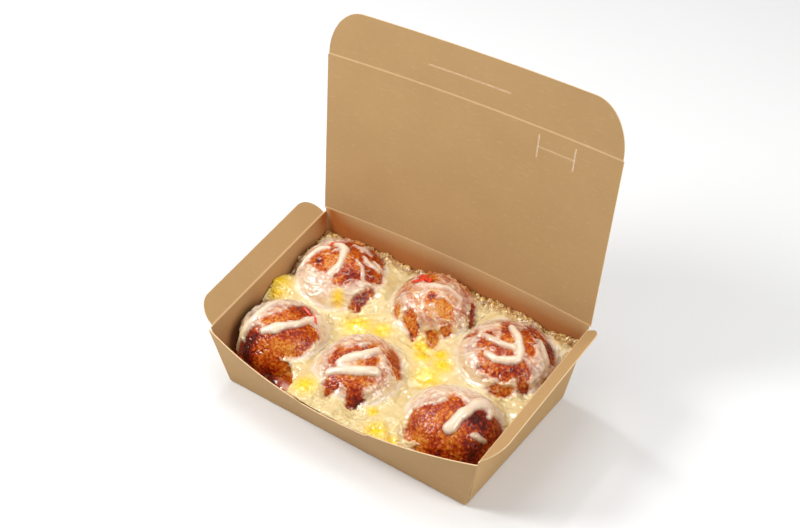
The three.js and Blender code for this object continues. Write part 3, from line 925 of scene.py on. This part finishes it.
# %% Shape the cheese
BLANKET = 0.85           # thickness on a ball where it isn't a veil, mm
CLEAREST = 0.88          # a veil loses at most this share of the thickness
LOW_DOWN = (35, 27)      # it thickens again between these heights, mm
UNDER = 0.9              # how deep it dives in a window, mm
LIP = 2.2                # width of the thinning edge, mm
STRAND_HEIGHT = 0.55     # height of a strand, as a share of its half width
THREAD = 0.4             # height of a thread on bare crust, mm
WANDER = 4.5             # chains stray from their line over this distance, mm
LACE = (1.5, 1.9)        # height and width of the lace's bubbles, mm
FRILL = 1.2              # height of the lace's broader ruffles, mm


def bell(points, places):
    """1 at the middle of each round place, fading outwards. A place is x, y and radius in mm."""
    total = np.zeros(len(points))
    for x, y, radius in places:
        off = np.hypot(points[:, 0] - x, points[:, 1] - y) / radius
        total = np.maximum(total, np.exp(-off ** 2))
    return total


def smooth_step(low, high, x):
    """0 at low, 1 at high, and smooth between. Low may be the larger number."""
    t = np.clip((x - low) / (high - low), 0, 1)
    return t * t * (3 - 2 * t)


def nearest_ball(p):
    return min(SHORT, key=lambda k: (centres[SHORT[k]] / MM - Vector(p)).length)


ball_keys = [nearest_ball(p) for p in points]
clear = np.array([VEIL[k] for k in ball_keys]) + 0.6 * lumps + 0.7 * streaks + 0.35 * ripples
clear = clear - 0.9 * bell(points, CREAMY) - 0.75 * smooth_step(*LOW_DOWN, points[:, 2])
on_crust = 1 - smooth_step(0.2, NEAR, height)
layer = BLANKET * (1 - np.clip(clear, 0, CLEAREST) * on_crust)
layer = layer + 0.35 * threads * on_crust
faces_up = smooth_step(0.0, 0.5, normals[:, 2]) * smooth_step(17, 21, points[:, 2])

wander = np.array([noise.noise_vector(Vector(p) / WANDER) for p in points])
edge = np.full(len(points), 1e9)
for gap, radius in each_chain(points + 1.3 * wander, WINDOWS):
    edge = np.minimum(edge, gap - radius)
edge = edge + edge_noise
full = np.maximum(height, 0) + layer
reach = np.maximum(LIP, 0.9 * full)
quarter = np.clip(edge / reach, 0, 1) ** 0.65
thick = -UNDER + (full + UNDER) * quarter

ropes = np.full(len(points), -UNDER)
for gap, radius in each_chain(points + 0.5 * wander, STRANDS):
    radius = radius * (1.2 + 0.3 * lumps)
    round_top = np.clip(1 - (gap / radius) ** 2, 0, 1) ** 0.55
    ropes = np.maximum(ropes, -UNDER + (STRAND_HEIGHT * radius + UNDER) * round_top)
crossing = threads * np.array([THREADS[k] for k in ball_keys])
ropes = np.maximum(ropes, -UNDER + (THREAD + UNDER) * crossing)
ropes = np.where(height < NEAR, ropes, -UNDER)
thick = soft_max(thick, ropes, 0.25)

# The crust's grains show through thin cheese, and folds run over the pool and up the balls' feet.
target = thick + reliefs[:, 0] * np.clip(1.25 - thick / 1.4, 0.2, 1) + 0.15 * quarter * ripples
in_pool = smooth_step(0.5, 3, height)
beside_ball = smooth_step(0.1, 1.2, height) * smooth_step(7, 2, height)
beside_ball = beside_ball * smooth_step(22, 25, points[:, 2])
target = target + 0.4 * folds * in_pool + (0.7 * folds + 0.5 * streaks) * beside_ball

# The lace follows the back wall's bow, whose length is about 146 mm.
across_tray = np.clip(points[:, 0], -72, 72)
lace_line = np.array([wall_point(BACK, 0.5 - x / 146, 0.85).y for x in across_tray])
at_back = smooth_step(9.5, 4.0, lace_line - points[:, 1]) * smooth_step(26, 29, points[:, 2])
at_left = smooth_step(-66, -70.5, points[:, 0]) * smooth_step(8, 16, points[:, 1])
lace = np.maximum(at_back, at_left)
bubbles = np.array([0.5 - noise.voronoi(Vector(p) / LACE[1])[0][0] if k > 0 else 0.0
                    for p, k in zip(points, lace)])
frill = np.abs(wobble(points, 3.5, 8.0)) * 2
target = target + lace * (LACE[0] * bubbles + FRILL * frill - 0.6)

push = outward * on_crust[:, None] + normals * (1 - on_crust[:, None])
push /= np.linalg.norm(push, axis=1)[:, None]
move = (target - height) * np.maximum(faces_up, on_crust * (points[:, 2] > 19))
moved = points + push * move[:, None]
cheese.data.vertices.foreach_set("co", (moved * MM).astype(np.float32).ravel())
cheese.data.update()
print("cheese top:", moved[:, 2].max().round(1), "mm")

# %% [markdown]
# Colour follows thickness too. `cover` says how much of the crust the cheese hides, `pool` how
# far the cheese is from any crust, where it is creamier, `yolk` marks the deep yellow puddles of
# butterfat that gather in the valleys, and `lace` the fried bubbles.

# %% Paint the cheese
YOLK = [  # x, y, radius of the yellow puddles
    (-69, 4, 7), (-38, 10, 3.5), (-22.5, 3.5, 8), (-11.5, 7.5, 5), (9, 10, 5.5), (22.5, -5, 7), (24, 4, 5),
    (22, -44, 5.5), (-18, -42, 6), (-66, -1, 5), (14, -35, 3), (20, 9, 4), (30, -44, 3), (14, 4, 5)]
HIDES = (0.03, 1.3)      # where cheese starts to hide the crust, and how much more hides it all, mm
flank = smooth_step(0.75, 0.5, normals[:, 2]) * 0.7
deep = smooth_step(0.3, 1.8, height + 0.9 * streaks + 0.5 * lumps)
painted = {
    "brown": painted_brown(moved, reliefs[:, 1]),
    "cover": np.clip((thick - HIDES[0]) / HIDES[1], 0, 1) ** 0.75,
    "pool": np.maximum(deep, flank),
    "yolk": bell(moved, YOLK),
    "lace": 0.85 * lace}
for name, values in painted.items():
    set_attribute(cheese.data, name, values)
cheese.data.shade_smooth()

melted, tree, place = new_material("melted_cheese")
crust_colour = browning(tree, place)[0]
read = {n: add(tree, "Attribute", attribute_name=n).outputs["Fac"]
        for n in ("cover", "pool", "yolk", "lace")}
clouds = add(tree, "TexNoise", {"Vector": place, "Scale": 170, "Detail": 3}).outputs[0]
grain = add(tree, "TexNoise", {"Vector": place, "Scale": 600, "Detail": 3, "Roughness": 0.7}).outputs[0]
# Milky where it is thin on a ball, buttery where it lies deep.
milky = add(tree, "Mix", {0: clouds, 6: linear("#e6dbc8"), 7: linear("#dcc6aa")}, **COLOURS)
buttery = add(tree, "Mix", {0: clouds, 6: linear("#ddcea2"), 7: linear("#d5b97c")}, **COLOURS)
body = add(tree, "Mix", {0: read["pool"], 6: milky.outputs[2], 7: buttery.outputs[2]}, **COLOURS)
# Butterfat is pure yellow where it is thin, and amber where it has caught the heat.
fat = add(tree, "ValToRGB", {0: grain}, stops=[(0.36, "#eeda48"), (0.5, "#eac60c"), (0.66, "#dca204")])
speckle = add(tree, "Math", {0: grain, 1: 2.4, 2: -1.2}, **SUM)
patchy = add(tree, "Math", {0: read["yolk"], 1: 2.1, 2: speckle.outputs[0]}, use_clamp=True, **SUM)
yellow = add(tree, "Math", {0: patchy.outputs[0], 1: read["yolk"]}, operation="MULTIPLY",
             use_clamp=True)
rich = add(tree, "Mix", {0: yellow.outputs[0], 6: body.outputs[2], 7: fat.outputs[0]}, **COLOURS)
# The fried lace is glassy gold, paler where a bubble stands up.
fried = add(tree, "ValToRGB", {0: grain}, stops=[(0.36, "#6e360a"), (0.5, "#a26a22"), (0.64, "#dcc27a")])
laced = add(tree, "Mix", {0: read["lace"], 6: rich.outputs[2], 7: fried.outputs[0]}, **COLOURS)
uneven = add(tree, "Math", {0: speckle.outputs[0], 1: 0.22, 2: read["cover"]}, use_clamp=True, **SUM)
mixed = add(tree, "Mix", {0: uneven.outputs[0], 6: crust_colour, 7: laced.outputs[2]}, **COLOURS)
relief = add(tree, "Bump", {"Height": grain, "Strength": 0.4, "Distance": 0.25 * MM})
# Melted cheese: a wet fat film over milky protein, so sharp highlights over a soft glow. Where it
# is thin the crust is just below, and less light scatters.
milk = add(tree, "Math", {0: read["cover"], 1: 0.6}, operation="MULTIPLY")
skin = add(tree, "BsdfPrincipled", {
    "Base Color": mixed.outputs[2], "Roughness": 0.25, "IOR": 1.45,
    "Subsurface Weight": milk.outputs[0], "Subsurface Radius": (1.0, 0.7, 0.4),
    "Subsurface Scale": 2.2 * MM, "Coat Weight": 0.6, "Coat Roughness": 0.05,
    "Normal": relief.outputs[0]})
add(tree, "OutputMaterial", {"Surface": skin.outputs[0]})
cheese.data.materials.append(melted)
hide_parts("melted_cheese")
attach(cheese, "tray")
print("cheese:", len(cheese.data.polygons), "faces")

# %% [markdown]
# ## Red ginger
#
# Three balls carry a few shreds of red pickled ginger, half sunk in the cheese. A shred is a flat
# strip a few millimetres long with a slight bend and uneven sides. It's much too small to be a
# part of its own, so all of them are one thin layer that rides with the tray.

# %% Scatter the ginger
SHREDS = {  # x and y from the ball's mark, direction in degrees, length and width in mm
    "B": [(-9.0, 9.0, -30, 11, 4.2), (-10.5, 5.5, 15, 8.0, 3.0), (-5.5, 7.0, -65, 6.0, 2.2),
          (-11.5, 10.5, 70, 5.5, 2.0)],
    "A": [(-8.5, 8.0, 15, 6.5, 1.8), (-6.0, 10.5, -20, 5.0, 1.5)],
    "D": [(5.0, 11.0, -15, 9.0, 1.8), (11.5, 8.5, -25, 5.0, 1.3)],
}
SHRED_THICKNESS = 1.1    # mm
ginger_red, tree, place = new_material("red_pickled_ginger")
fibre = add(tree, "TexNoise", {"Vector": place, "Scale": 900, "Detail": 2}).outputs[0]
red = add(tree, "ValToRGB", {0: fibre}, stops=[(0.35, "#b81004"), (0.5, "#dc2a05"), (0.66, "#ec5c38")])
skin = add(tree, "BsdfPrincipled", {
    "Base Color": red.outputs[0], "Roughness": 0.25, "Coat Weight": 0.5, "Coat Roughness": 0.08,
    "Subsurface Weight": 0.3, "Subsurface Radius": (1.0, 0.3, 0.15), "Subsurface Scale": 1.0 * MM})
add(tree, "OutputMaterial", {"Surface": skin.outputs[0]})

cheese_tree = BVHTree.FromObject(cheese, bpy.context.evaluated_depsgraph_get())
shreds = bmesh.new()
for key, list_of_shreds in SHREDS.items():
    for x, y, turned, length, width in list_of_shreds:
        start = Vector((MARKS[key][0] + x, MARKS[key][1] + y, ABOVE)) * MM
        hits = [surface.ray_cast(start, DOWN)[0] for surface in (cheese_tree, food_tree)]
        spot = max(hits, key=lambda hit: hit.z)
        upright = (spot - centres[SHORT[key]]).normalized()
        along = Matrix.Rotation(math.radians(turned), 3, "Z") @ Vector((1, 0, 0))
        along = (along - upright * along.dot(upright)).normalized()
        across = upright.cross(along)
        for v in bmesh.ops.create_icosphere(shreds, subdivisions=4, radius=0.5)["verts"]:
            u, w, h = v.co.x * length, v.co.y * width, v.co.z * SHRED_THICKNESS
            w += 0.35 * noise.noise(Vector((u / 1.6, turned, 0))) + 0.02 * u * u
            h += 0.25 * noise.noise(Vector((u / 1.2, w / 0.9, turned))) - u * u / 46 - w * w / 40
            v.co = spot + (along * u + across * w + upright * (h + 0.1)) * MM
ginger = new_piece("ginger_shreds", shreds, [ginger_red])
ginger.data.shade_smooth()
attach(ginger, "tray")
print("ginger:", len(ginger.data.polygons), "faces")

# %% [markdown]
# ## Table, light and camera
#
# A pale table, a soft light from the upper left, others from above and from the right, a small
# one for crisp glints on the wet cheese, and a bright room. The camera looks down over the front
# right corner, from about as far away as a person who is about to eat.

# %% Table, light and camera
scene = bpy.context.scene
scene.view_settings.view_transform = "Standard"
table = bmesh.new()
bmesh.ops.create_grid(table, x_segments=1, y_segments=1, size=3.0)
table_top, tree, place = new_material("white_table")
grain = add(tree, "TexNoise", {"Vector": place, "Scale": 8})
tint = add(tree, "Mix", {0: grain.outputs[0], 6: linear("#ebebeb"), 7: linear("#e8e8e8")}, **COLOURS)
skin = add(tree, "BsdfPrincipled", {
    "Base Color": tint.outputs[2], "Roughness": 0.9, "Specular IOR Level": 0.1})
add(tree, "OutputMaterial", {"Surface": skin.outputs[0]})
floor = new_piece("table", table, [table_top])

world = bpy.data.worlds.new("room")
scene.world = world
world.use_nodes = True
world.node_tree.nodes["Background"].inputs["Color"].default_value = linear("#ffffff")
world.node_tree.nodes["Background"].inputs["Strength"].default_value = 0.34


def soft_light(name, toward, distance, size, power):
    """A round lamp in that direction, turned to the box. Metres and watts."""
    lamp = bpy.data.lights.new(name, "AREA")
    lamp.shape = "DISK"
    lamp.size = size
    lamp.energy = power
    holder = bpy.data.objects.new(name, lamp)
    holder.location = Vector(toward).normalized() * distance
    holder.rotation_mode = "QUATERNION"
    holder.rotation_quaternion = Vector(toward).to_track_quat("Z", "Y")
    scene.collection.objects.link(holder)


soft_light("key", (-0.6, -0.4, 0.7), 0.75, 0.3, 4.1)
soft_light("top", (-0.1, 0.15, 1.0), 1.0, 0.5, 2.3)
soft_light("fill", (0.85, -0.05, 0.62), 1.0, 0.5, 5.2)
soft_light("glint", (-0.35, 0.3, 0.9), 1.0, 0.08, 1.2)

AZIMUTH, ELEVATION, ROLL = (math.radians(d) for d in (35.25, 43.0, -1.10))
DISTANCE = 0.6646        # from the point that the camera aims at, m
AIM = Vector((-0.0251, 0.0426, 0.0350))
back = Vector((math.sin(AZIMUTH) * math.cos(ELEVATION), -math.cos(AZIMUTH) * math.cos(ELEVATION),
               math.sin(ELEVATION)))
right = Vector((math.cos(AZIMUTH), math.sin(AZIMUTH), 0))
up = back.cross(right)
across = right * math.cos(ROLL) + up * math.sin(ROLL)
upward = up * math.cos(ROLL) - right * math.sin(ROLL)
turned = Matrix((across, upward, back)).transposed().to_4x4()
camera = bpy.data.objects.new("camera", bpy.data.cameras.new("camera"))
camera.matrix_world = Matrix.Translation(AIM + back * DISTANCE) @ turned
camera.data.lens = 62.8
camera.data.shift_y = -0.0025
camera.data.clip_start = 0.01
scene.collection.objects.link(camera)
scene.camera = camera
